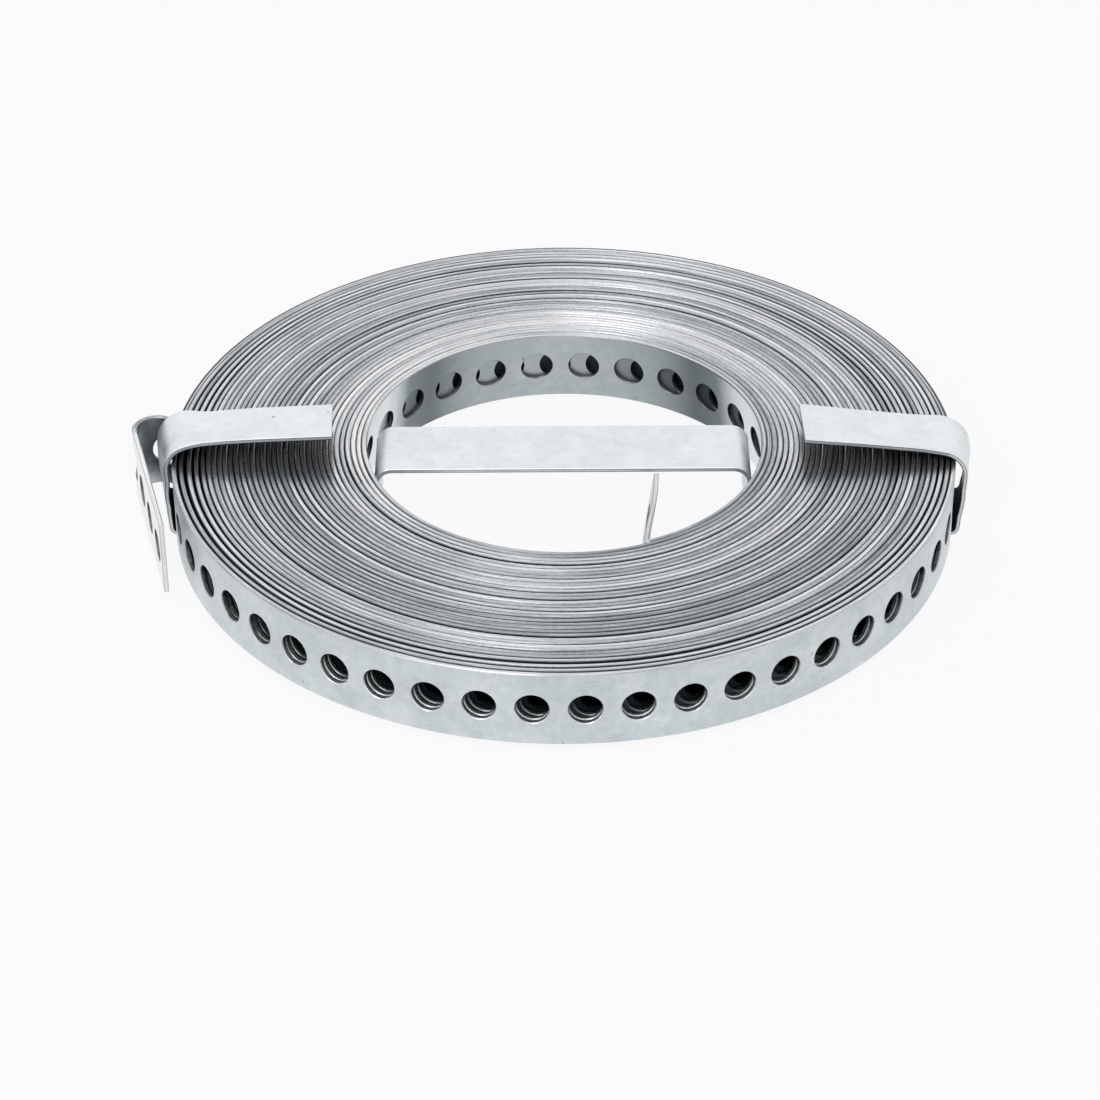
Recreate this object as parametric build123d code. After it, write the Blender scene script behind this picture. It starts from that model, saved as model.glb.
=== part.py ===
from build123d import *
import math
import os

os.makedirs("parts", exist_ok=True)

# A coil of perforated steel strap lying flat, held together by one plain tie strip.
# Millimetres. Z points along the coil's axis, X runs along the tie strip and z = 0 is the
# underside of the tie strip, where the coil rests on the floor. The coil is made round the
# Z axis and moved along X at the end, so that the origin is in the middle of the outline.

# The strap
strap_width = 12.0
strap_thickness = 0.75
hole_diameter = 5.0
hole_pitch = 7.5

# The winding
bore_radius = 30.8
turns = 35
turn_gap = 0.067
winding_pitch = strap_thickness + turn_gap
coil_radius = bore_radius + turns * winding_pitch

# The turned ends: the edges of the turns fall and rise again from band to band, and more
# bands show on the upper end, which is the one that is seen
top_bands = 10
bottom_bands = 2
band_drop = 0.35

# Rows of holes in the outermost and in the innermost turn. There are many, so most are cut
# with a few flat sides and the area of the round hole. The ones in front are cut round
outer_hole_angle = 193.5
inner_hole_angle = 138.8
row_margin = 0.6
row_hole_sides = 12
first_round_hole = 7
round_holes = 8

# The tie strip, which is not perforated: the gaps beside the coil, the height of its two
# clips over the coil's top edge, and how far they reach inwards
tie_width = 12.0
tie_thickness = 0.75
tie_coil_gap = 1.0
tie_bore_gap = 1.8
tie_edge_clearance = 0.1
tie_bridge_bend = 2.4
tie_bridge_drop = 1.0
left_clip_rise = 2.5
left_clip_angle = 3.0
left_clip_reach = 25.6
right_clip_rise = 0.9
right_clip_angle = 5.0
right_clip_reach = 24.2

# The loose outer end: it leaves the coil behind the tie, is bent round the outside of the
# tie and then runs straight towards the front
tail_behind_tie = 2.7
tail_beside_tie = 3.6
tail_root_sink = 0.2
tail_root_bend = 1.5
tail_step_heading = 191.5
tail_bend = 5.2
tail_heading = 284.0
tail_straight = 24.0

# The loose inner end: bent sharply off the innermost turn into the bore
tab_root_angle = -67.0
tab_root_sink = 0.2
tab_bend = 1.2
tab_heading = 82.6
tab_before_tie = 3.4

coil_bottom = tie_thickness
coil_top = coil_bottom + strap_width
hole_height = coil_bottom + strap_width / 2
hole_radius = hole_diameter / 2


def unit(angle):
    """Unit vector in the plane at an angle in degrees."""
    return Vector(math.cos(math.radians(angle)), math.sin(math.radians(angle)))


def run_points(start, heading, steps):
    """Follow a path of straight lengths (length, 0) and bends (radius, turn in degrees).

    Returns, for each step, the place and heading at its start and at its end.
    """
    stations = []
    place = Vector(*start)
    for size, turn in steps:
        if turn == 0:
            after = place + unit(heading) * size
            stations.append((place, heading, after, heading))
        else:
            side = math.copysign(1, turn)
            centre = place + unit(heading + 90 * side) * size
            after = centre - unit(heading + turn + 90 * side) * size
            stations.append((place, heading, after, heading + turn))
            heading += turn
        place = after
    return stations


def edge_side(stations, steps, offset):
    """The path moved sideways by an offset, as a chain of lines and arcs."""
    chain = []
    for (place, heading, after, turned), (size, turn) in zip(stations, steps):
        first = place + unit(heading + 90) * offset
        last = after + unit(turned + 90) * offset
        if turn == 0:
            chain.append(Edge.make_line(first, last))
        else:
            side = math.copysign(1, turn)
            centre = place + unit(heading + 90 * side) * size
            half = heading + turn / 2
            middle = centre - unit(half + 90 * side) * size + unit(half + 90) * offset
            chain.append(Edge.make_three_point_arc(first, middle, last))
    return chain


def bent_strip(start, heading, steps, thickness):
    """The edge view of a strip: a path of straight lengths and bends given a thickness."""
    stations = run_points(start, heading, steps)
    near = edge_side(stations, steps, -thickness / 2)
    far = edge_side(stations, steps, thickness / 2)
    first_cap = Edge.make_line(near[0] @ 0, far[0] @ 0)
    last_cap = Edge.make_line(near[-1] @ 1, far[-1] @ 1)
    return Face(Wire(near + far + [first_cap, last_cap])), stations


def place_on(stations, steps, distance_back):
    """The place and heading on a path, a distance back from its free end."""
    left = distance_back
    for (place, heading, after, turned), (size, turn) in reversed(list(zip(stations, steps))):
        length = size if turn == 0 else size * math.radians(abs(turn))
        if left <= length:
            if turn == 0:
                return after - unit(heading) * left, heading
            side = math.copysign(1, turn)
            centre = place + unit(heading + 90 * side) * size
            angle = turned - math.degrees(left / size) * side
            return centre - unit(angle + 90 * side) * size, angle
        left -= length
    return None


def punch_plane(place, direction):
    """A plane one strap thickness behind a place, facing along a direction, at mid height."""
    way = unit(direction)
    start = place - way * strap_thickness
    return Plane(
        origin=(start.X, start.Y, hole_height), x_dir=(0, 0, 1), z_dir=(way.X, way.Y, 0)
    )


def round_punch(place, direction):
    """A round punch across the strap, which stands a thickness out on both sides."""
    return Solid.make_cylinder(hole_radius, 2 * strap_thickness, punch_plane(place, direction))


def sided_punch(place, direction):
    """The same punch with flat sides, as large in area as the round one."""
    sides = round(row_hole_sides)
    corner_radius = hole_radius * math.sqrt(math.tau / (sides * math.sin(math.tau / sides)))
    outline = RegularPolygon(corner_radius, sides, rotation=180 / sides)
    return extrude(punch_plane(place, direction) * outline, 2 * strap_thickness)


def end_profile(bands, flush, drop):
    """Points across a turned end, in turn flush with the rims and dropped below them."""
    count = round(bands)
    band = (coil_radius - bore_radius) / count
    return [
        Vector(bore_radius + index * band, 0, flush + drop * (index % 2))
        for index in range(count + 1)
    ]


# The winding as one turned solid with its bore, and the bands of its turns on both ends
bottom_points = end_profile(bottom_bands, coil_bottom, band_drop)
top_points = end_profile(top_bands, coil_top, -band_drop)
section = Face(Wire.make_polygon(bottom_points + top_points[::-1], close=True))
coil = Solid.revolve(section, 360, Axis.Z)

# The loose outer end. Its path starts in the outermost turn and ends at the cut end
tail_start_radius = coil_radius - strap_thickness / 2 - tail_root_sink
tail_start_y = tie_width / 2 + tail_behind_tie
tail_root_angle = 180 - math.degrees(math.asin(tail_start_y / tail_start_radius))
tail_start = unit(tail_root_angle) * tail_start_radius
tail_first_heading = tail_root_angle + 90
tail_first_bend = (tail_root_bend, tail_step_heading - tail_first_heading)
tail_corner = run_points(tail_start, tail_first_heading, [tail_first_bend])[0][2]
# The second bend is tangent to a line beside the tie, which sets the step out to it
tie_side_x = coil_radius + tie_coil_gap + tie_thickness
tail_side_x = -(tie_side_x + tail_beside_tie + strap_thickness / 2)
bend_centre_x = tail_side_x + tail_bend
step_end_x = bend_centre_x - unit(tail_step_heading + 90).X * tail_bend
tail_step_out = (step_end_x - tail_corner.X) / unit(tail_step_heading).X
tail_steps = [
    tail_first_bend,
    (tail_step_out, 0),
    (tail_bend, tail_heading - tail_step_heading),
    (tail_straight, 0),
]
tail_face, tail_stations = bent_strip(
    tail_start, tail_first_heading, tail_steps, strap_thickness
)
tail = extrude(Pos(0, 0, coil_bottom) * tail_face, strap_width, dir=(0, 0, 1))

# The loose inner end. Its path starts in the innermost turn and ends at the cut end
tab_start = unit(tab_root_angle) * (bore_radius + strap_thickness / 2 + tab_root_sink)
tab_first_heading = tab_root_angle - 90 + 360
tab_first_bend = (tab_bend, tab_heading - tab_first_heading)
tab_corner = run_points(tab_start, tab_first_heading, [tab_first_bend])[0][2]
tab_end_y = -(tie_width / 2 + tab_before_tie)
tab_straight = (tab_end_y - tab_corner.Y) / unit(tab_heading).Y
tab_steps = [tab_first_bend, (tab_straight, 0)]
tab_face, tab_stations = bent_strip(
    tab_start, tab_first_heading, tab_steps, strap_thickness
)
tab = extrude(Pos(0, 0, coil_bottom) * tab_face, strap_width, dir=(0, 0, 1))

strap = coil + tail + tab

# Holes of the two loose ends go right through. The last one is half a pitch from the cut
punches = []
tail_holes = 5
tab_holes = 2
for index in range(tail_holes):
    place, heading = place_on(tail_stations, tail_steps, hole_pitch * (index + 0.5))
    punches.append(round_punch(place, heading + 90))
for index in range(tab_holes):
    place, heading = place_on(tab_stations, tab_steps, hole_pitch * (index + 0.5))
    punches.append(round_punch(place, heading + 90))

# Holes of the outermost turn are as deep as the strap is thick
outer_step = math.degrees(hole_pitch / coil_radius)
outer_margin = math.degrees(row_margin * hole_pitch / coil_radius)
outer_end = tail_root_angle + 360 - outer_margin
outer_count = int((outer_end - outer_hole_angle) / outer_step) + 1
for index in range(outer_count):
    angle = outer_hole_angle + index * outer_step
    in_front = first_round_hole <= index < first_round_hole + round_holes
    punch = round_punch if in_front else sided_punch
    punches.append(punch(unit(angle) * coil_radius, angle))

# Holes of the innermost turn likewise
inner_step = math.degrees(hole_pitch / bore_radius)
inner_margin = math.degrees(row_margin * hole_pitch / bore_radius)
inner_back = int((inner_hole_angle - tab_root_angle - inner_margin) / inner_step)
inner_room = tab_root_angle + 360 - inner_margin - inner_hole_angle
inner_forward = int(inner_room / inner_step)
for index in range(-inner_back, inner_forward + 1):
    angle = inner_hole_angle + index * inner_step
    punches.append(sided_punch(unit(angle) * bore_radius, angle))

perforated_strap = strap - punches


def bend_over_edge(beside, above, clearance):
    """Largest inner radius of a bend that passes a square edge with a clearance."""
    both = beside + above - clearance
    return both + math.sqrt(2 * (beside - clearance) * (above - clearance))


# The tie strip seen from the front, in a plane with X to the right and Z up
mid = tie_thickness / 2
foot_bend = tie_coil_gap - tie_edge_clearance + mid
bore_wall_x = math.sqrt(bore_radius**2 - (tie_width / 2) ** 2)
bore_leg_x = bore_radius - tie_bore_gap - mid
bore_foot_bend = bore_wall_x - (bore_leg_x + mid) - tie_edge_clearance + mid
outer_leg_x = coil_radius + tie_coil_gap + mid
bridge_z = coil_top - tie_bridge_drop - mid
foot_run = outer_leg_x - foot_bend - (bore_leg_x + bore_foot_bend)
bore_leg_rise = bridge_z - tie_bridge_bend - (mid + bore_foot_bend)
bridge_run = 2 * (bore_leg_x - tie_bridge_bend)
left_bend = bend_over_edge(tie_coil_gap, left_clip_rise, tie_edge_clearance) + mid
right_bend = bend_over_edge(tie_coil_gap, right_clip_rise, tie_edge_clearance) + mid
left_clip_z = coil_top + left_clip_rise + mid
right_clip_z = coil_top + right_clip_rise + mid
tie_steps = [
    (left_clip_reach - left_bend, 0),
    (left_bend, 90 - left_clip_angle),
    (left_clip_z - left_bend - (mid + foot_bend), 0),
    (foot_bend, 90),
    (foot_run, 0),
    (bore_foot_bend, 90),
    (bore_leg_rise, 0),
    (tie_bridge_bend, -90),
    (bridge_run, 0),
    (tie_bridge_bend, -90),
    (bore_leg_rise, 0),
    (bore_foot_bend, 90),
    (foot_run, 0),
    (foot_bend, 90),
    (right_clip_z - right_bend - (mid + foot_bend), 0),
    (right_bend, 90 - right_clip_angle),
    (right_clip_reach - right_bend, 0),
]
left_corner = Vector(-outer_leg_x + left_bend, left_clip_z - left_bend)
clip_start = left_corner + unit(90 + left_clip_angle) * left_bend
clip_start += unit(left_clip_angle) * (left_clip_reach - left_bend)
tie_face, tie_stations = bent_strip(
    clip_start, 180 + left_clip_angle, tie_steps, tie_thickness
)
front = Plane(origin=(0, tie_width / 2, 0), x_dir=(1, 0, 0), z_dir=(0, -1, 0))
tie_strip = extrude(front * tie_face, tie_width)

# The outline reaches from the bend of the loose outer end to the right side of the tie
outline_left = tail_side_x - strap_thickness / 2
outline_right = outer_leg_x + mid
axis_x = -(outline_left + outline_right) / 2
perforated_strap = Pos(axis_x, 0, 0) * perforated_strap
tie_strip = Pos(axis_x, 0, 0) * tie_strip

perforated_strap.label = "perforated_strap"
tie_strip.label = "tie_strip"
export_step(perforated_strap, "parts/perforated_strap.step")
export_step(tie_strip, "parts/tie_strip.step")
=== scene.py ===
import math

import bpy
import numpy as np
from mathutils import Matrix


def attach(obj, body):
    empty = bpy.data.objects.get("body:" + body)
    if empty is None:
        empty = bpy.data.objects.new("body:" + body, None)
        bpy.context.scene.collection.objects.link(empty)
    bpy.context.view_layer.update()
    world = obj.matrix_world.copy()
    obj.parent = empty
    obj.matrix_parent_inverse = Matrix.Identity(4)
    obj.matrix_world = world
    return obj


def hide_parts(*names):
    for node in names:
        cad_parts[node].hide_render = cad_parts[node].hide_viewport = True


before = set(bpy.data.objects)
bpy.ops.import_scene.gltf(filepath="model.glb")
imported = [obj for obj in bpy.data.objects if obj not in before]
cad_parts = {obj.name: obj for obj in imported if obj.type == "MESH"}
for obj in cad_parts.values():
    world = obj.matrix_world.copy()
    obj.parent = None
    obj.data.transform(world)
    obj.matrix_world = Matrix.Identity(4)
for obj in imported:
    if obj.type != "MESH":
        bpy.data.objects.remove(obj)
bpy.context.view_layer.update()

# Lengths are in millimetres until a mesh is made, and are taken from the coil's axis: X runs
# along the tie strip, Z up the axis, and z = 0 is the floor. The axis stands at axis_x. Angles
# are in degrees about the axis: the right is at 0, the back at 90 and the front at -90. A turn
# number counts the turns, with their fraction, from the winding's inner root.
MM = 0.001
axis_x = 2.175

# The strap. The flats are the shares of its half thickness that stay flat between two rounds.
strap_width = 12.0
strap_thickness = 0.75
edge_round = 0.14
edge_flat = 0.62
hole_radius = 2.40
hole_pitch = 7.5
rim_round = 0.13
rim_flat = 0.62

# The winding, between its innermost face and its outermost one
coil_bottom = 0.75
inner_radius = 30.40
outer_radius = 59.42
inner_root_angle = -65.0
outer_root_angle = 172.5
whole_turns = 34
total_turns = (outer_root_angle - inner_root_angle) / 360 + whole_turns
middle_turn = whole_turns / 2
turn_pitch = (outer_radius - inner_radius - strap_thickness) / total_turns
mean_gap = turn_pitch - strap_thickness
samples_per_turn = 720

# The bore lies aside of the outline, its turns lean, and the four outermost turns spring off
bore_shift = 0.87
bore_shift_angle = 69
bore_lean = 0.80
leaning_turns = 16
spring_off_parts = (1.0, 0.78, 0.42, 0.18)

# Stretches where the turns gape: an angle, the first turn and the last one
gaping = ((165, 29, 34), (25, 22, 29))

# The loose ends from their roots to their cuts, as straight steps (length, 0) and bends
# (radius, turn): the tab is the inner one and the tail the outer one, with its holes
tab_steps = [(1.2, -123.5), (8.0, 0), (70.0, 6.0), (2.1, 0)]
tail_steps = [(1.0, -115.0), (0.6, 0), (3.27, 136.5), (26.59, 0)]
tail_holes = 5

# The rows of holes. Each is set by one hole at an angle, and to the side of that it has a
# pitch a little off the strap's. Behind it are those of the next turns, counted in pitches
# along the strap from the place in the row that they lie behind.
bore_row_angle = 137.8
bore_side_angle = 170
bore_side_pitch = 7.76
behind_bore_row = [0, 26.38, 53.18]
outer_row_angle = -94.62
outer_row_from_end = 41.5
outer_left_angle = -118
outer_left_pitch = 7.41
behind_outer_row = [0, 50, 99, 147, 195]
outer_right_holes = 14
outer_right_pitch = 7.43

# Pitches from the inner and the outer cut end that are in plain view, and that show in holes
in_view = (31, 57)
in_holes = (57, 156)

# The tie strip, whose path runs through the middle of its thickness
tie_width = 12.0
tie_thickness = 0.75
tie_bevel = 0.12
bridge_height = 11.375
tie_samples = 620

# A piece's kinds of faces, as places in its list of materials
FACE, EDGE, HOLE = range(3)


def unit(angle):
    """Unit vectors in the plane at angles in degrees: the cosine and the sine."""
    turned = np.radians(angle)
    return np.stack([np.cos(turned), np.sin(turned)], axis=-1)


def around(turn):
    """The angle about the axis at a turn number, in radians."""
    return np.radians(inner_root_angle + turn * 360)


def eased(x, start, end):
    """0 at start and 1 at end, with 3 t^2 - 2 t^3 between them."""
    t = np.clip((x - start) / (end - start), 0, 1)
    return t * t * (3 - 2 * t)


def smooth_random(rng, knots, count, power=1.0):
    """Seeded random numbers from 0 to 1 on even knots, raised to a power, joined by cosines."""
    values = rng.random(knots + 1) ** power
    x = np.linspace(0, knots, count)
    left = np.minimum(x.astype(int), knots - 1)
    ease = 0.5 - 0.5 * np.cos(np.pi * (x - left))
    return values[left] * (1 - ease) + values[left + 1] * ease


def lengths_along(points):
    """Length of a line of points from its start to each of them."""
    return np.concatenate([[0], np.cumsum(np.hypot(*np.diff(points, axis=0).T))])


def follow(start, heading, steps, spacing=0.08):
    """Points of a chain of straight steps and bends, from a start and a heading.

    A straight step (length, 0) adds start + t * length * unit(heading). A bend (radius, turn)
    adds centre - radius * unit(heading + t * turn + side), where side is 90 to the side that
    it turns to and the centre is start + radius * unit(heading + side). t runs from 0 to 1.
    """
    points = [np.array([start], float)]
    place = np.array(start, float)
    for size, turn in steps:
        length = size if turn == 0 else size * math.radians(abs(turn))
        t = np.linspace(0, 1, max(2, int(length / spacing)))[1:, None]
        if turn == 0:
            stretch = place + t * size * unit(heading)
        else:
            side = math.copysign(90, turn)
            centre = place + size * unit(heading + side)
            stretch = centre - size * unit(heading + t[:, 0] * turn + side)
            heading += turn
        points.append(stretch)
        place = stretch[-1]
    return np.concatenate(points)


def turn_gaps(rng):
    """Gap from each turn to the next one out, as a row of samples for each turn.

    It is nearly even at the sides, and in front and behind it is a seeded random number with
    a slow and a quick part. The inner turns have half the gap. Behind, the turns below the
    ninth all but touch and those above the 32nd lie close. The stretches that gape have up
    to 3.2 times the gap. All are scaled to the mean gap, and eased to it at the inner root
    and below the outer one.
    """
    rows = whole_turns + 1
    turn = np.arange(rows * samples_per_turn) / samples_per_turn
    angle = around(turn)
    slow = smooth_random(rng, rows * 2, len(turn), 4.5)
    quick = smooth_random(rng, rows * 7, len(turn), 2.0)
    uneven = 0.25 + 0.75 * np.sin(angle) ** 2
    gap = (1 - uneven) + uneven * (0.05 + 3.4 * slow + 0.3 * quick)
    behind = np.clip(np.sin(angle), 0, 1)
    open_behind = eased(turn, 9, 14) * (1 - 0.8 * eased(turn, 29, 32))
    gap *= 1 - behind * (1 - 0.06 - 1.3 * open_behind)
    gap *= 0.5 + 0.5 * eased(turn, 5, 13)
    for place, first, last in gaping:
        near = np.clip(np.cos(angle - math.radians(place)), 0, 1) ** 10
        gap *= 1 + 2.2 * near * (turn > first) * (turn < last)
    gap *= mean_gap / gap.mean()
    ends = np.clip(np.minimum(turn / 0.3, np.abs(turn - total_turns + 1) / 0.12), 0, 1)
    return (gap * ends + mean_gap * (1 - ends)).reshape(rows, samples_per_turn)


def spring_off(turn):
    """How far the outermost turns stand off the even spiral.

    For the outermost turn it is the turn pitch, times the part of a turn that is left to the
    outer root, times a share that rises to 1 in two steps at the left and falls to 0.6 past
    the front. Each turn below takes a smaller part of what its own angle gives.
    """
    off = np.zeros(len(turn))
    for below, part in enumerate(spring_off_parts):
        left_over = total_turns - turn - below
        angle = (turn - total_turns) * 360 + outer_root_angle + 360 * below
        share = 0.85 * eased(angle, -187.5, -172) + 0.15 * eased(angle, -150, -118)
        share *= 1 - 0.4 * eased(angle, -90, -30)
        off += part * turn_pitch * left_over * share * (left_over >= 0) * (left_over <= 1)
    return off


def winding(rng):
    """Angle, turn number and centre-line radius along the whole winding.

    The radius is that of the bore's wall, plus one thickness a turn, plus the gaps of the
    turns below at that angle, plus the bore's shift, which fades outwards, plus the spring-off.
    The gaps are scaled at each angle so that the outermost turn, but for the spring-off, is
    an even spiral.
    """
    n = samples_per_turn
    count = int(round(total_turns * n)) + 1
    turn = np.arange(count) / n
    angle = inner_root_angle + turn * 360
    below = np.cumsum(turn_gaps(rng), axis=0)
    below = np.concatenate([np.zeros((1, n)), below[:-1]]) + mean_gap * np.arange(n) / n
    gaps = below.reshape(-1)[:count]
    shift = bore_shift * (1 - turn / total_turns) * np.cos(np.radians(angle - bore_shift_angle))
    solid = inner_radius + strap_thickness / 2 + strap_thickness * turn + shift
    even = outer_radius - strap_thickness / 2 - turn_pitch * (total_turns - turn[-n:])
    scale = (even - solid[-n:]) / gaps[-n:]
    at_this_angle = (np.arange(count) - (count - n)) % n
    return angle, turn, solid + gaps * scale[at_this_angle] + spring_off(turn)


# The strap's line in plan from the inner cut end to the outer one, with the length along it,
# the turn number and the direction at each of its points
angles, turns, radii = winding(np.random.default_rng(20))
spiral = radii[:, None] * unit(angles)
tab = follow(spiral[0], inner_root_angle - 90 + 360, tab_steps)
tail = follow(spiral[-1], outer_root_angle + 90, tail_steps)
path = np.concatenate([tab[:0:-1], spiral, tail[1:]])
path_turn = np.concatenate([np.zeros(len(tab) - 1), turns, np.full(len(tail) - 1, turns[-1])])
run = lengths_along(path)
slope = np.gradient(path, run, axis=0)
slope /= np.hypot(*slope.T)[:, None]
winding_run = run[len(tab) - 1:len(tab) - 1 + len(spiral)]
inner_root, outer_root = winding_run[0], winding_run[-1]
next_gap = radii[samples_per_turn:] - radii[:-samples_per_turn] - strap_thickness


def run_of(angle, turn):
    """Length along the strap at an angle, with so many whole turns added to it."""
    return np.interp(angle + 360 * turn, angles, winding_run)


def count_pitches():
    """How many pitches the strap has, and which length along it belongs to which count.

    Counts start at the inner cut end, and a hole is at each whole number and a half. The row
    in the bore has the whole count nearest to the strap's own pitch, and the outer row is
    counted back from the outer cut end. The rows behind the first stand a little aside of it
    at the back, and those behind the second are in line with it at the left.
    """
    first = run_of(bore_row_angle, 0)
    first_count = round(first / hole_pitch - 0.5) + 0.5
    total = int(round((run[-1] - first) / hole_pitch + first_count))
    back = run_of(90, np.arange(len(behind_bore_row)))
    back_counts = first_count + (back[0] - first) / hole_pitch + behind_bore_row
    side = run_of(bore_side_angle, 0)
    side_count = back_counts[0] + (side - back[0]) / bore_side_pitch
    front = run_of(outer_row_angle, whole_turns)
    front_count = total - outer_row_from_end
    left = run_of(outer_left_angle, whole_turns - np.arange(len(behind_outer_row)))
    left_counts = (front_count + (left[0] - front) / outer_left_pitch
                   - np.array(behind_outer_row))
    counts = [[0, back_counts[0], side_count], back_counts[1:], left_counts[::-1],
              [front_count, front_count + outer_right_holes, total - tail_holes, total]]
    lengths = [[0, back[0], side], back[1:], left[::-1],
               [front, front + outer_right_holes * outer_right_pitch,
                run[-1] - tail_holes * hole_pitch, run[-1]]]
    return total, np.concatenate(counts), np.concatenate(lengths)


pitches, known_counts, known_lengths = count_pitches()


# In a pattern, this plus a point's number is the same point of the next pitch
NEXT = 100000


def joined(one, two):
    """Faces between two closed lines of points, from each point to the next one."""
    return np.stack([one, two, np.roll(two, -1), np.roll(one, -1)], axis=-1)


def pitch_pattern(along, rounded):
    """One pitch of the strap laid flat, with its hole: points, four-sided faces and kinds.

    Points are (u, v, side): u from -0.5 to 0.5 pitches, v from 0 to 1 across, side from +1 on
    the outer face to -1 on the inner one. The first ten are the left edge, and the right edge
    is the next pitch's. Eight lines run along it, each cut into that many lengths, and bound
    one slanting face on each side of a flat crown at both long edges. A rounded hole's rims
    slant in the same way. The hole's point k is its middle + radius * (cos a, sin a), where a
    is (k + 1) / sides of a full turn, and is joined to point k of the outline.
    """
    low = edge_round / strap_width
    edges = np.array([(1 - low, 1), (low, 1), (1 - low, -1), (low, -1),
                      (1, edge_flat), (1, -edge_flat), (0, edge_flat), (0, -edge_flat)])
    rims = np.array([(rim_round, 1), (0, rim_flat), (0, -rim_flat), (rim_round, -1)]
                    if rounded else [(0, 1), (0, -1)], float)
    sides = 2 * along + 4
    turned = 2 * np.pi * (np.arange(sides) + 1) / sides
    reach = hole_radius + rims[:, :1]
    points = np.concatenate([
        np.column_stack([np.full(8, -0.5), edges]), [(-0.5, 0.5, 1), (-0.5, 0.5, -1)],
        np.column_stack([np.tile(np.linspace(0.5, -0.5, along + 1)[1:-1], 8),
                         np.repeat(edges, along - 1, axis=0)]),
        np.column_stack([(np.cos(turned) * reach / hole_pitch).ravel(),
                         (0.5 + np.sin(turned) * reach / strap_width).ravel(),
                         np.repeat(rims[:, 1], sides)])])

    number = np.arange(8)[:, None]
    between = 10 + number * (along - 1) + np.arange(along - 1)
    lines = np.hstack([NEXT + number, between, number])
    rings = 10 + between.size + np.arange(len(rims) * sides).reshape(-1, sides)
    outer = np.hstack([lines[0], 8, lines[1][::-1], NEXT + 8])
    inner = np.hstack([lines[2], 9, lines[3][::-1], NEXT + 9])
    plates = [joined(rings[0], outer), joined(rings[-1], inner)[:, ::-1]]
    walls = [joined(one, two)[:, ::-1] for one, two in zip(rings[:-1], rings[1:])]
    one, two = lines[[0, 4, 5, 3, 7, 6]], lines[[4, 5, 2, 7, 6, 1]]
    rounds = np.stack([one[:, 1:], one[:, :-1], two[:, :-1], two[:, 1:]], axis=-1)
    faces = [np.stack(plates + walls, axis=1).reshape(-1, 4), rounds.reshape(-1, 4)]
    kinds = [np.tile([FACE, FACE] + [HOLE] * len(walls), sides), np.full(6 * along, EDGE)]
    return points, np.concatenate(faces), np.concatenate(kinds)


def flat_strap():
    """Points, faces and kinds of the whole strap laid flat, pitch after pitch.

    The pitches in plain view take the finest pattern, and those that show in holes a fine
    one. A pitch's points follow those of the pitch before it, so that a right edge is the
    next one's left, and u grows by 1 from pitch to pitch.
    """
    patterns = [pitch_pattern(3, False), pitch_pattern(8, True), pitch_pattern(10, True)]
    number = np.arange(pitches)
    level = ((number < in_holes[0]) | (number > pitches - in_holes[1])).astype(int)
    level += (number < in_view[0]) | (number > pitches - in_view[1])
    sizes = np.array([len(points) for points, _, _ in patterns])[level]
    starts = np.concatenate([[0], np.cumsum(sizes)])
    last = starts[-1]
    flat = np.zeros((last + 10, 3))
    faces, kinds = [], []
    for rank, (points, quads, sorts) in enumerate(patterns):
        index = number[level == rank]
        rows = starts[index][:, None] + np.arange(len(points))
        flat[rows, 0] = points[:, 0] + index[:, None] + 0.5
        flat[rows, 1] = points[:, 1]
        flat[rows, 2] = points[:, 2]
        here = quads[None] + starts[index][:, None, None]
        after = quads[None] - NEXT + starts[index + 1][:, None, None]
        faces.append(np.where(quads[None] < NEXT, here, after).reshape(-1, 4))
        kinds.append(np.tile(sorts, len(index)))
    flat[last:] = patterns[2][0][:10] + (pitches + 0.5, 0, 0)
    cap = np.array([(0, 8, 9, 2), (8, 1, 3, 9), (4, 0, 2, 5), (1, 6, 7, 3)])
    faces += [cap[:, ::-1], cap + last]
    kinds.append(np.full(2 * len(cap), EDGE))
    return flat, np.concatenate(faces), np.concatenate(kinds)


def edge_height(turn):
    """How far the strap stands up out of the coil: two seeded random waves, none at the roots."""
    rng = np.random.default_rng(7)
    rows = whole_turns + 1
    grid = np.linspace(0, rows, 4000)
    fine = smooth_random(rng, rows * 5, len(grid))
    slow = smooth_random(rng, rows * 2, len(grid), 1.4)
    free = np.clip((turns[-1] - turn) / 0.5, 0, 1) * np.clip(turn / 0.5, 0, 1)
    return np.interp(turn, grid, 0.17 * slow + 0.08 * fine) * free


def wind(flat):
    """Carry the flat strap along its path: points, lengths along the strap and turn numbers.

    In plan a point is path(s) + (side * half the thickness + lean) * normal(s), with the normal
    outwards, and its height is bottom + v * width + edge height(s). The lean goes from out at
    the foot to in at the top, and fades from the innermost turn outwards.
    """
    s = np.interp(flat[:, 0], known_counts, known_lengths)
    place = np.stack([np.interp(s, run, path[:, i]) for i in (0, 1)], axis=1)
    way = np.stack([np.interp(s, run, slope[:, i]) for i in (0, 1)], axis=1)
    way /= np.hypot(*way.T)[:, None]
    normal = np.stack([way[:, 1], -way[:, 0]], axis=1)
    turn = np.interp(s, run, path_turn)
    lean = -bore_lean * np.clip(1 - turn / leaning_turns, 0, 1) * (flat[:, 1] - 0.5) * 2
    offset = flat[:, 2] * strap_thickness / 2 + lean
    plan = place + normal * offset[:, None]
    height = coil_bottom + flat[:, 1] * strap_width + edge_height(turn)
    return np.column_stack([plan, height]), s, turn


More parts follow.
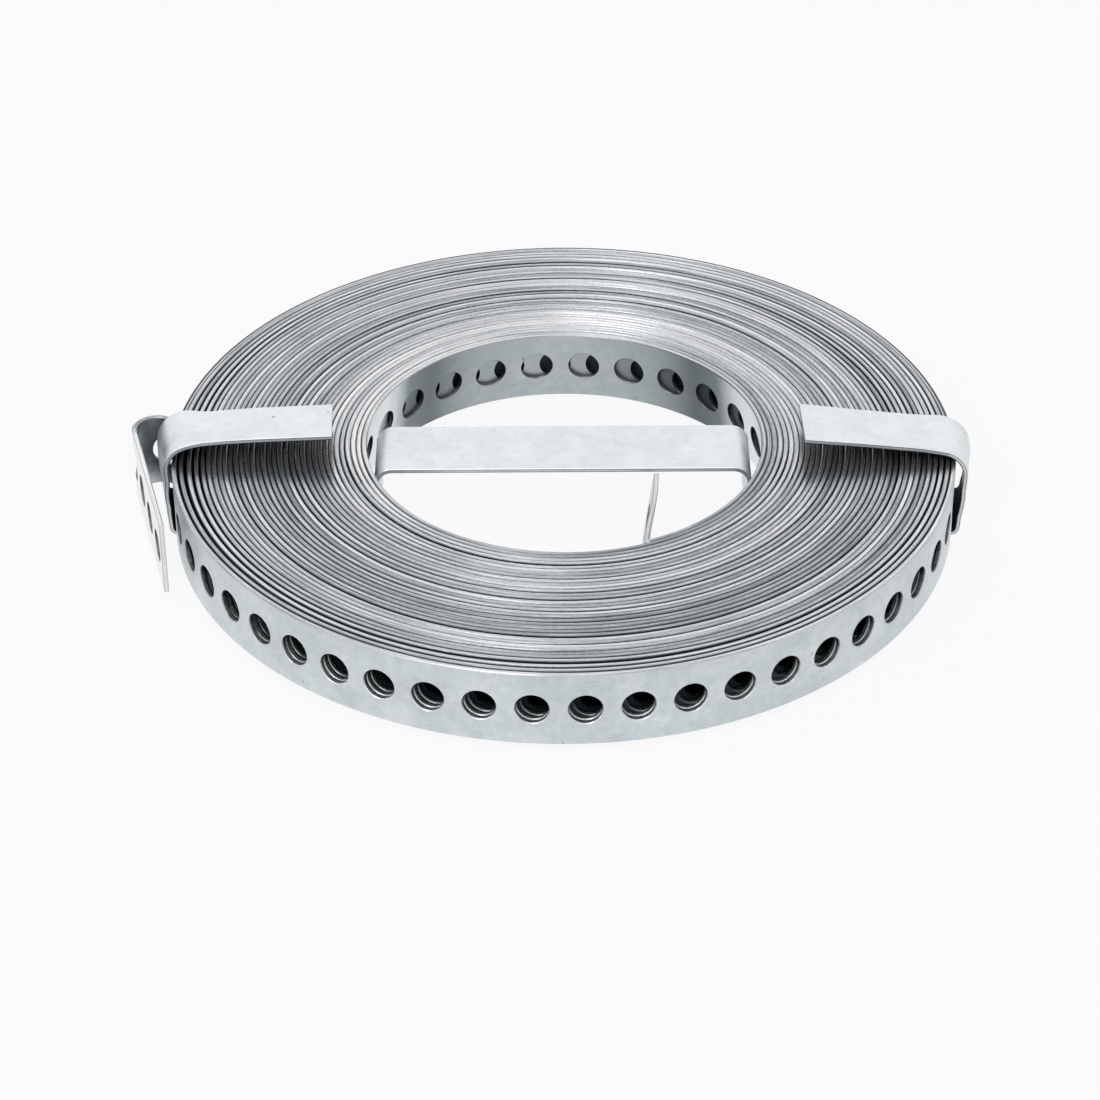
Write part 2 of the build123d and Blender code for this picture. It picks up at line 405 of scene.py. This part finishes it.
class StrapPlaces:
    """Where each point of the strap lies, for the shares that its materials read.

    behind and right are the sine and cosine of its angle. on_tail is the length past the
    outer root, which is negative before it.
    """

    def __init__(self, flat, s, turn):
        self.turn = turn
        self.v = flat[:, 1]
        self.outward = flat[:, 2] > 0
        self.behind = np.sin(around(turn))
        self.right = np.cos(around(turn))
        self.at_right = np.clip(1.2 * self.right, 0, 1)
        self.in_front = np.interp(-self.behind, [0.3, 0.85], [0.3, 1])
        self.past_inner_turns = eased(turn, 5, 13)
        self.from_outside = turns[-1] - turn
        self.outermost = self.outward & (self.from_outside < 1)
        self.on_tab = s < inner_root
        self.near_loose_end = (s < inner_root + 1) | (s > outer_root - 4)
        self.on_tail = s - outer_root
        self.on_tail_plate = self.on_tail > 10


def open_share(at):
    """How open the gap beside each point is, from 0 at none to 1, for the flanks' painted shade.

    It is the gap to the next turn on that side over 0.12 mm, or over less between the inner
    turns in front, where they lean apart at the top. The inner turns behind and at the left
    look softer and have about half of it, and faces in the open have little. The outermost
    face behind has 2.5, which marks its rim for a painted line of shade.
    """
    outer = np.interp(at.turn, turns[:len(next_gap)], next_gap)
    inner = np.interp(at.turn - 1, turns[:len(next_gap)], next_gap)
    inner[at.turn < 1] = 1.0
    outer[at.from_outside < 1] = 1.0
    full = 0.12 - 0.075 * (1 - at.past_inner_turns) * np.clip(-1.3 * at.behind, 0, 1)
    share = np.clip(np.where(at.outward, outer, inner) / full, 0, 1)
    sharper = np.maximum(at.past_inner_turns, np.maximum(at.at_right, -0.9 * at.behind))
    share *= 0.45 + 0.55 * sharper
    share[at.outermost] = 0.1
    share[at.on_tab | (at.on_tail > 1)] = 0.15
    share[at.outermost & (at.behind > 0) & (at.on_tail < 0)] = 2.5
    return share


def face_light(at):
    """How much light each point's face can get: 0 at none, 1 in the open, more in a low glare.

    The outermost face is in the open, and the outward faces within it have a share that falls
    from turn to turn and away from the front. Inward faces have the bore's light, which
    changes with the angle and is higher at the left, times a share that falls outwards. The
    loose ends have their own: the inside of the tail is dark near its root and in its middle.
    """
    outer = np.interp(np.floor(at.from_outside), range(5), [1.0, 0.24, 0.13, 0.06, 0])
    outer = np.where(at.from_outside < 1, 1 - 0.06 * eased(at.v, 0.6, 1), outer * at.in_front)
    bore = np.interp(at.behind, [-0.2, 0.3, 0.43, 0.52, 0.62, 0.75, 0.88, 1],
                     [0.8, 1.75, 1.5, 0.9, 0.36, 0.30, 0.55, 0.72])
    bore = np.where(at.turn < 1, bore, np.minimum(bore, 0.8))
    bore = np.minimum(bore * (1 + 0.25 * np.clip(-at.right, 0, 1)), 1.75)
    inner = bore * np.interp(np.floor(at.turn), range(5), [1.0, 1.1, 0.9, 0.3, 0])
    inner *= np.where(at.turn < 1, 1, 0.85 - 0.6 * at.at_right)
    light = np.where(at.outward, outer, inner)
    tail_inside = np.interp(at.on_tail, [-4, 0, 3, 6, 9, 12], [1, 0.3, 0.2, 0.5, 0.9, 1.2])
    tail_inside *= np.interp(at.v, [0, 0.12, 0.3, 0.55, 1], [1.5, 1.3, 0.5, 0.65, 1.1])
    loose = np.where(at.turn < middle_turn, 1.3, np.where(at.outward, 1.0, tail_inside))
    light[at.near_loose_end] = loose[at.near_loose_end]
    light[at.outward & at.on_tail_plate] = 1.8
    return light


def hole_light(at):
    """How much light the holes' walls get: it falls from turn to turn, and away from the front.

    The holes of the inner half and of the tail get about a third of it.
    """
    depth = np.floor(np.minimum(at.from_outside, at.turn))
    light = np.interp(depth, range(5), [1.0, 0.85, 0.5, 0.2, 0])
    light *= np.where(at.turn > middle_turn, 0.2 + 0.8 * at.in_front, 0.35)
    light[at.on_tail_plate] = 0.35
    return light


def edge_tone_and_light(at):
    """How bright the slit edge is: seeded random lengths of pale and dull along the strap.

    The inner turns are paler, a painted light, but not in front and hardly at the right. The
    tab is pale, and the tail is dull at its root and pale on its plate.
    """
    rows = whole_turns + 1
    grid = np.linspace(0, rows, 6000)
    tones = smooth_random(np.random.default_rng(11), rows * 3, len(grid))
    tone_and_light = np.interp(at.turn, grid, tones)
    # painted light: the inner turns' edges paler behind and duller at the right
    paler = 0.25 * np.clip(1 + at.behind, 0, 1) - 0.2 * np.clip(at.right, 0, 1)
    tone_and_light += paler * (1 - eased(at.turn, 6, 14))
    tone_and_light += 0.6 * at.on_tab
    loose = at.on_tail > 1
    tone_and_light[loose] = 0.1 + 1.1 * eased(at.on_tail, 9, 12)[loose]
    return tone_and_light


def wound_strap():
    """Points, faces, kinds, strip places and attributes of the wound strap.

    The strip place is the length along the strap and v * width + side, in metres. across and
    rim are the side from +1 to -1, five times as far where a rim gets a painted line of shade,
    and twice as far in the holes of the inner half.
    """
    flat, faces, kinds = flat_strap()
    points, s, turn = wind(flat)
    at = StrapPlaces(flat, s, turn)
    gap = open_share(at)
    strip = np.column_stack([s, flat[:, 1] * strap_width + flat[:, 2]]) * MM
    return points, faces, kinds, strip, {
        "tone_and_light": edge_tone_and_light(at), "across": flat[:, 2] * np.where(gap > 2, 5, 1), "gap": gap,
        "lit": face_light(at), "hole_lit": hole_light(at),
        "rim": flat[:, 2] * np.where(turn > middle_turn, 1, 2)}


def rounded(corners, spacing=0.125):
    """Points of a line through corners (x, z, radius), each rounded by an arc.

    The arc starts radius * tan(turn / 2) before the corner, and its points are centre - radius
    * unit(heading + t * turn + side), with t from 0 to 1 and side 90 to the side it turns to.
    """
    places = np.array([corner[:2] for corner in corners])
    ways = np.diff(places, axis=0)
    headings = np.degrees(np.arctan2(ways[:, 1], ways[:, 0]))
    points = [places[:1]]
    for index in range(1, len(corners) - 1):
        radius = corners[index][2]
        heading = headings[index - 1]
        turn = (headings[index] - heading + 180) % 360 - 180
        side = math.copysign(90, turn)
        back = radius * math.tan(math.radians(abs(turn)) / 2)
        first = places[index] - back * unit(heading)
        centre = first + radius * unit(heading + side)
        t = np.linspace(0, 1, max(8, int(radius * math.radians(abs(turn)) / spacing)))
        points.append(centre - radius * unit(heading + t * turn + side))
    points.append(places[-1:])
    return np.concatenate(points)


def tie_path():
    """Centre line of the tie strip in the X-Z plane, from the left clip's cut end to the right's.

    It lies over the rim, goes down the coil's side and in under it, up in the bore and across
    as a bridge, and back out at the right in the same way.
    """
    foot = tie_thickness / 2
    return rounded([
        (-35.0, 16.2, 0), (-50.0, 15.5, 40), (-60.65, 14.7, 4.6), (-61.1, 7.0, 20),
        (-60.6, foot, 0.95),
        (-28.3, foot, 1.485), (-28.3, bridge_height, 2.4),
        (28.0, bridge_height, 2.4), (28.0, foot, 1.485),
        (60.55, foot, 1.0), (61.3, 6.5, 20), (60.9, 13.7, 4.6), (36.05, 16.1, 0),
    ])


def tie_bends(s, rest):
    """Twist in radians, place aside and skew of the tie, by the lengths from its two ends.

    Each clip is twisted about the path one way and the top of its leg the other way, and the
    clips and the right leg stand a little aside. The left end is cut skew, and both feet are
    bent skew, so that the legs stand turned about the upright.
    """
    twist = np.interp(s, [8, 20, 25, 28.5, 31, 34], [-9.0, -9.4, 2, 11.5, 7, 0])
    twist += np.interp(rest, [2, 8, 18, 23, 28, 31, 34], [-5.7, -7.0, -7.1, -3, 8.5, 6, 0])
    twist = np.convolve(np.pad(twist, 4, mode="edge"), np.ones(9) / 9, mode="valid")
    aside = np.interp(s, [0, 11, 20, 30], [0.4, 0.45, 0.2, 0])
    aside -= np.interp(rest, [0, 10, 22, 30, 38, 70], [0.55, 0.7, 0.95, 1.2, 1.2, 0])
    skew = -0.05 * (1 - eased(s, 0, 6))
    skew -= np.interp(s, [28.5, 31, 34, 39, 60], [0, 0.06, 0.175, 0.165, 0])
    skew += np.interp(rest, [28, 31, 34, 38, 60], [0, 0.06, 0.16, 0.15, 0])
    return np.radians(twist), aside, skew


def tie_section():
    """The tie's flat section with bevelled edges, as places across it and along its normal."""
    half, thick = tie_width / 2, tie_thickness / 2
    near, third, crown = half - tie_bevel, half / 3, thick - tie_bevel
    across = [-near, -third, third, near, half, half, near, third, -third, -near, -half, -half]
    upwards = [thick] * 4 + [crown, -crown] + [-thick] * 4 + [-crown, crown]
    return np.array(across), np.array(upwards)


def tie_faces(ring):
    """Faces and kinds between the tie's sections of ring points each, and over its two ends.

    A section's sides from point 4 and from point 10 are the slit edges.
    """
    i, j = np.meshgrid(np.arange(tie_samples - 1), np.arange(ring), indexing="ij")
    after = (j + 1) % ring
    quads = np.stack([i * ring + j, i * ring + after,
                      (i + 1) * ring + after, (i + 1) * ring + j], axis=-1).reshape(-1, 4)
    kinds = np.where(np.isin(j, (4, 10)), EDGE, FACE).ravel()
    cap = np.array([(0, 11, 10, 9), (0, 9, 8, 1), (1, 8, 7, 2), (2, 7, 6, 3), (3, 6, 5, 4)])
    last = (tie_samples - 1) * ring
    return (np.concatenate([quads, cap, last + cap[:, ::-1]]),
            np.concatenate([kinds, np.full(2 * len(cap), EDGE)]))


def folded_tie():
    """Points, faces, kinds, strip places and attributes of the tie strip.

    A point is centre(s) + w * across(s) + n * normal(s), where across is Y and normal the
    path's own, both turned about the path by the twist, and then moves along X by skew(s) * w.
    The side towards the coil has painted shade, except on the legs and in the bore.
    """
    line = tie_path()
    length = lengths_along(line)
    s = np.linspace(0, length[-1], tie_samples)
    x = np.interp(s, length, line[:, 0])
    z = np.interp(s, length, line[:, 1])
    way = np.stack([np.gradient(x, s), np.gradient(z, s)], axis=1)
    way /= np.hypot(*way.T)[:, None]
    normal = np.stack([way[:, 1], np.zeros(tie_samples), -way[:, 0]], axis=1)
    across = np.tile([0.0, 1.0, 0.0], (tie_samples, 1))
    twist, aside, skew = tie_bends(s, length[-1] - s)
    turned_across = across * np.cos(twist)[:, None] + normal * np.sin(twist)[:, None]
    turned_normal = normal * np.cos(twist)[:, None] - across * np.sin(twist)[:, None]
    centre = np.stack([x, aside, z], axis=1)
    w, n = tie_section()
    points = (centre[:, None] + w[None, :, None] * turned_across[:, None]
              + n[None, :, None] * turned_normal[:, None])
    points[:, :, 0] += skew[:, None] * w

    # painted shade: the side towards the coil gets little light, but not on the legs or in the
    # bore
    legs = (np.abs(x) > 59) * eased(z, 7.4, 8.0) * (1 - eased(z, 12.0, 13.5))
    in_bore = (np.abs(x) < 29.2) * eased(z, 7.0, 9.5) + 0.5 * (np.abs(x) < 32) * (z < 1.5)
    coil_side_light = 0.04 + 0.96 * (in_bore + legs)
    light = np.where(n[None] < 0, coil_side_light[:, None], 1.0).ravel()
    strip = np.stack(np.broadcast_arrays(s[:, None], (w + n)[None]), axis=-1).reshape(-1, 2)
    even = np.ones(len(strip))
    crown = np.tile(n / (tie_thickness / 2 - tie_bevel), tie_samples)
    faces, kinds = tie_faces(len(w))
    return points.reshape(-1, 3), faces, kinds, strip * MM, {
        "tone_and_light": even * 0.5, "across": crown, "gap": even, "lit": light}


def make_piece(name, materials, points, faces, kinds, strip, attributes):
    """A mesh object from arrays, smooth but for edges where faces meet at over 35 degrees."""
    mesh = bpy.data.meshes.new(name)
    mesh.vertices.add(len(points))
    moved = (points + (axis_x, 0, 0)) * MM
    mesh.vertices.foreach_set("co", moved.astype(np.float32).ravel())
    mesh.loops.add(faces.size)
    mesh.loops.foreach_set("vertex_index", faces.astype(np.int32).ravel())
    mesh.polygons.add(len(faces))
    starts = np.arange(len(faces)) * faces.shape[1]
    mesh.polygons.foreach_set("loop_start", starts.astype(np.int32))
    for material in materials:
        mesh.materials.append(material)
    mesh.polygons.foreach_set("material_index", kinds.astype(np.int32))
    mesh.update(calc_edges=True)
    layer = mesh.uv_layers.new(name="strip_uv")
    layer.uv.foreach_set("vector", strip[faces.ravel()].astype(np.float32).ravel())
    for label, value in attributes.items():
        kept = mesh.attributes.new(label, "FLOAT", "POINT")
        kept.data.foreach_set("value", value.astype(np.float32))
    mesh.polygons.foreach_set("use_smooth", np.ones(len(faces), bool))
    mesh.set_sharp_from_angle(angle=math.radians(35))
    mesh.validate()
    made = bpy.data.objects.new(name, mesh)
    bpy.context.scene.collection.objects.link(made)
    return made


class Value:
    """An output of a shader node. Arithmetic on it adds Math nodes."""

    def __init__(self, shader, node, key=0):
        self.shader = shader
        self.node = node
        self.key = key

    def output(self, key):
        """Another output of the same node, by its name or its number."""
        return Value(self.shader, self.node, key)

    def socket(self):
        return self.node.outputs[self.key]

    def math(self, operation, first, second=0.0):
        return self.shader.node("ShaderNodeMath", {"operation": operation},
                                {0: first, 1: second})

    def __add__(self, other):
        return self.math("ADD", self, other)

    def __sub__(self, other):
        return self.math("SUBTRACT", self, other)

    def __rsub__(self, other):
        return self.math("SUBTRACT", other, self)

    def __mul__(self, other):
        return self.math("MULTIPLY", self, other)

    def __abs__(self):
        return self.math("ABSOLUTE", self)

    __radd__ = __add__
    __rmul__ = __mul__

    def at_most(self, limit):
        return self.math("MINIMUM", self, limit)

    def ramp(self, low, high):
        """0 at low, 1 at high and smooth between them."""
        return self.shader.node(
            "ShaderNodeMapRange", {"interpolation_type": "SMOOTHSTEP"},
            {"Value": self, "From Min": low, "From Max": high})


class Shader:
    """The nodes of a new material or world, which all come from one method."""

    def __init__(self, owner, end="ShaderNodeOutputMaterial"):
        self.owner = owner
        self.end = end
        owner.use_nodes = True
        self.tree = owner.node_tree
        self.tree.nodes.clear()

    def node(self, kind, settings=None, inputs=None):
        """A new node: its settings are set first, then its sockets get values or links."""
        made = self.tree.nodes.new(kind)
        for name, value in (settings or {}).items():
            setattr(made, name, value)
        for name, value in (inputs or {}).items():
            if isinstance(value, Value):
                self.tree.links.new(value.socket(), made.inputs[name])
            else:
                made.inputs[name].default_value = value
        return Value(self, made)

    def object_place(self):
        return self.node("ShaderNodeTexCoord").output("Object")

    def strip_place(self):
        """The length along the strip and the place across it, in metres."""
        return self.node("ShaderNodeUVMap", {"uv_map": "strip_uv"})

    def attribute(self, name):
        return self.node("ShaderNodeAttribute", {"attribute_name": name}).output("Fac")

    def noise(self, vector, scale, detail, roughness):
        return self.node("ShaderNodeTexNoise", {},
                         {"Vector": vector, "Scale": scale, "Detail": detail,
                          "Roughness": roughness})

    def streaks(self, along, across):
        """Noise on the strip with a scale of its own along it and across it."""
        drawn = self.node("ShaderNodeVectorMath", {"operation": "MULTIPLY"},
                          {0: self.strip_place(), 1: (along, across, 1.0)})
        return self.noise(drawn, 1.0, 3.0, 0.6)

    def mix(self, factor, first, second):
        """Two colours mixed. A Mix node has its colours at inputs 6 and 7 and at output 2."""
        return self.node("ShaderNodeMix", {"data_type": "RGBA", "clamp_factor": True},
                         {0: factor, 6: first, 7: second}).output(2)

    def bump(self, height, strength, distance):
        return self.node("ShaderNodeBump", {}, {"Strength": strength, "Distance": distance,
                                                "Height": height})

    def surface(self, inputs):
        return self.finish(self.node("ShaderNodeBsdfPrincipled", {}, inputs))

    def finish(self, shader):
        self.node(self.end, {}, {"Surface": shader})
        return self.owner


def galvanised(name, pale, deep, speckle):
    """Zinc on steel: pale and deep clouds, fine specks, faint drawn lines and dark stains.

    The light of the piece's own attribute mixes it to near black below 1, and to a near white
    glare above 1.
    """
    stain_grey = (0.16, 0.18, 0.20, 1)
    shadow = (0.002, 0.026, 0.034, 1)
    glare = (0.95, 0.96, 0.965, 1)
    shader = Shader(bpy.data.materials.new(name))
    place = shader.object_place()
    lit = shader.attribute("lit")
    cloud = shader.noise(place, 140.0, 3.0, 0.6)
    grain = shader.noise(place, 700.0, 3.0, 0.7)
    speck = shader.noise(place, 2600.0, 2.0, 0.7)
    stain = shader.noise(place, 420.0, 2.0, 0.6)
    drawn = shader.streaks(60.0, 2600.0)
    blotch = (cloud.ramp(0.36, 0.64) * 0.4 + grain.ramp(0.32, 0.68) * 0.35
              + drawn.ramp(0.3, 0.7) * 0.15 + (speck - 0.5) * 0.4 + 0.05)
    marks = speck.ramp(0.30, 0.24) * speckle + stain.ramp(0.29, 0.24) * 0.6
    colour = shader.mix(marks, shader.mix(blotch, deep, pale), stain_grey)
    colour = shader.mix(lit, shadow, colour)
    colour = shader.mix(lit - 1.0, colour, glare)
    return shader.surface({
        "Base Color": colour, "Metallic": 0.9,
        "Roughness": 0.32 + blotch * 0.16 + (1 - lit).ramp(0.3, 1.0) * 0.5,
        "Normal": shader.bump(drawn * 0.5 + speck * 0.5, 0.18, 0.00004)})


def sheared(name, pale, deep, flank_shade):
    """A slit edge: bright crown, dull lengths, and painted shade on the flanks where a gap is
    open.
    """
    shader = Shader(bpy.data.materials.new(name))
    grain = shader.noise(shader.object_place(), 1900.0, 2.0, 0.6)
    lengths = shader.streaks(90.0, 1500.0)
    bright = (lengths.ramp(0.34, 0.66) * 0.45 + shader.attribute("tone_and_light") * 0.65
              + (grain - 0.5) * 0.6 - 0.05)
    # painted shade: the flanks go to the last colour, more where the gap beside them is open
    beside = abs(shader.attribute("across")) + (grain - 0.5) * 0.25
    dark = beside.ramp(0.50, 0.85) * (0.2 + 0.8 * shader.attribute("gap"))
    return shader.surface({
        "Base Color": shader.mix(dark, shader.mix(bright, deep, pale), flank_shade),
        "Metallic": 0.85, "Roughness": 0.24 + (1 - bright) * 0.12,
        "Normal": shader.bump(grain, 0.3, 0.00005)})


def punched(name, pale, deep):
    """A punched hole's wall: painted light at the lower rim, painted shade further in and above.
    """
    middle = strap_width / 2 * MM
    painted_shade_upwards = 420
    shader = Shader(bpy.data.materials.new(name))
    height = shader.node("ShaderNodeSeparateXYZ", {}, {0: shader.strip_place()}).output("Y")
    marks = shader.noise(shader.object_place(), 1500.0, 3.0, 0.7)
    # painted light: bright on the outer side and low down, times the light share of the hole
    painted_light_part = (shader.attribute("rim") * 0.6 + (middle - height) * painted_shade_upwards
                 + (marks - 0.5) * 0.4)
    bright = painted_light_part.ramp(-0.5, 0.8) * shader.attribute("hole_lit")
    bare = shader.mix(marks.ramp(0.3, 0.7), deep, pale)
    return shader.surface({
        # painted shade: near black where the painted light is low
        "Base Color": shader.mix(bright, (0.01, 0.012, 0.015, 1), bare),
        "Metallic": 0.8, "Roughness": 0.26 + marks * 0.2})


# The two pieces
strap_face = galvanised("zinc_strap_face", (0.755, 0.80, 0.82, 1), (0.53, 0.585, 0.615, 1), 0.5)
# the slit edge's last colour is the painted shade on its flanks
strap_edge = sheared("slit_strap_edge", (0.82, 0.825, 0.835, 1), (0.24, 0.265, 0.29, 1),
                     (0.06, 0.07, 0.08, 1))
strap_hole = punched("punched_hole_wall", (0.86, 0.88, 0.89, 1), (0.55, 0.58, 0.60, 1))
strap = make_piece("wound_strap", [strap_face, strap_edge, strap_hole], *wound_strap())
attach(strap, "root")
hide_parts("perforated_strap")

tie_face = galvanised("zinc_tie_face", (0.83, 0.865, 0.885, 1), (0.63, 0.675, 0.70, 1), 0.6)
# the slit edge's last colour is the painted shade on its flanks
tie_edge = sheared("slit_tie_edge", (0.74, 0.76, 0.78, 1), (0.44, 0.46, 0.48, 1),
                   (0.10, 0.11, 0.12, 1))
tie = make_piece("folded_tie", [tie_face, tie_edge], *folded_tie())
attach(tie, "root")
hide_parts("tie_strip")


# The studio, whose lengths are in metres
WHITE = (1, 1, 1, 1)
floor_half = 6.0
floor_drop = 0.0002


def seen_or_mirrored(shader):
    """1 for rays from the camera, a mirror or glass, and 0 for the light that falls on things."""
    rays = shader.node("ShaderNodeLightPath")
    seen, glossy, through = [rays.output("Is %s Ray" % kind)
                             for kind in ("Camera", "Glossy", "Transmission")]
    return (seen + glossy + through).at_most(1.0)


def floor_white():
    """A matt white floor that seen or mirrored is mostly plain white, and keeps a soft shadow."""
    shader = Shader(bpy.data.materials.new("white_floor"))
    matt = shader.node("ShaderNodeBsdfDiffuse", {}, {"Color": (0.95, 0.95, 0.95, 1)})
    plain = shader.node("ShaderNodeEmission", {}, {"Color": WHITE, "Strength": 1.0})
    return shader.finish(shader.node("ShaderNodeMixShader", {}, {
        0: seen_or_mirrored(shader) * 0.90, 1: matt, 2: plain}))


def studio_white():
    """White surroundings at half strength, which seen or mirrored are plain white."""
    shader = Shader(bpy.data.worlds.new("studio"), "ShaderNodeOutputWorld")
    soft, plain = [shader.node("ShaderNodeBackground", {}, {"Color": WHITE, "Strength": strength})
                   for strength in (0.5, 1.0)]
    return shader.finish(shader.node("ShaderNodeMixShader", {}, {
        0: seen_or_mirrored(shader), 1: soft, 2: plain}))


def stand(name, data, place, right, up, ahead):
    """A lamp or camera at a place, with its right, up and forward directions."""
    made = bpy.data.objects.new(name, data)
    turned = Matrix(np.column_stack([right, up, -ahead]).tolist()).to_4x4()
    turned.translation = place
    made.matrix_world = turned
    bpy.context.scene.collection.objects.link(made)
    return made


def lamp(name, place, width, height, power):
    """A soft flat lamp at a place, facing the middle of the floor."""
    data = bpy.data.lights.new(name, "AREA")
    data.energy = power
    data.shape = "RECTANGLE"
    data.size = width
    data.size_y = height
    ahead = -np.array(place, float)
    ahead /= np.linalg.norm(ahead)
    side = np.cross(ahead, (0, 0, 1.0))
    side /= np.linalg.norm(side)
    return stand(name, data, place, side, np.cross(side, ahead), ahead)


def photo_camera():
    """A camera at the photo's place, downward pitch and roll, with its focal length in pixels."""
    place = ((axis_x - 2.15) * MM, -0.43377, 0.29270)
    pitch = math.radians(34.667)
    roll = -0.00545
    focal_pixels, frame_pixels, sensor = 3400.0, 1100.0, 36.0
    data = bpy.data.cameras.new("camera")
    data.sensor_width = sensor
    data.lens = sensor * focal_pixels / frame_pixels
    level = np.array([1.0, 0.0, 0.0])
    above = np.array([0.0, math.sin(pitch), math.cos(pitch)])
    ahead = np.array([0.0, math.cos(pitch), -math.sin(pitch)])
    right = math.cos(roll) * level + math.sin(roll) * above
    up = -math.sin(roll) * level + math.cos(roll) * above
    return stand("camera", data, place, right, up, ahead)


floor_mesh = bpy.data.meshes.new("floor")
floor_mesh.from_pydata(
    [(x * floor_half, y * floor_half, -floor_drop)
     for x, y in ((-1, -1), (1, -1), (1, 1), (-1, 1))], [], [(0, 1, 2, 3)])
floor_mesh.materials.append(floor_white())
floor = bpy.data.objects.new("floor", floor_mesh)
bpy.context.scene.collection.objects.link(floor)

bpy.context.scene.world = studio_white()
lamp("back_lamp", (0.05, 0.80, 0.38), 1.5, 0.55, 0.4)
lamp("front_lamp", (-0.30, -0.5, 0.75), 0.5, 0.5, 1.5)
bpy.context.scene.camera = photo_camera()
bpy.context.scene.view_settings.view_transform = "Standard"
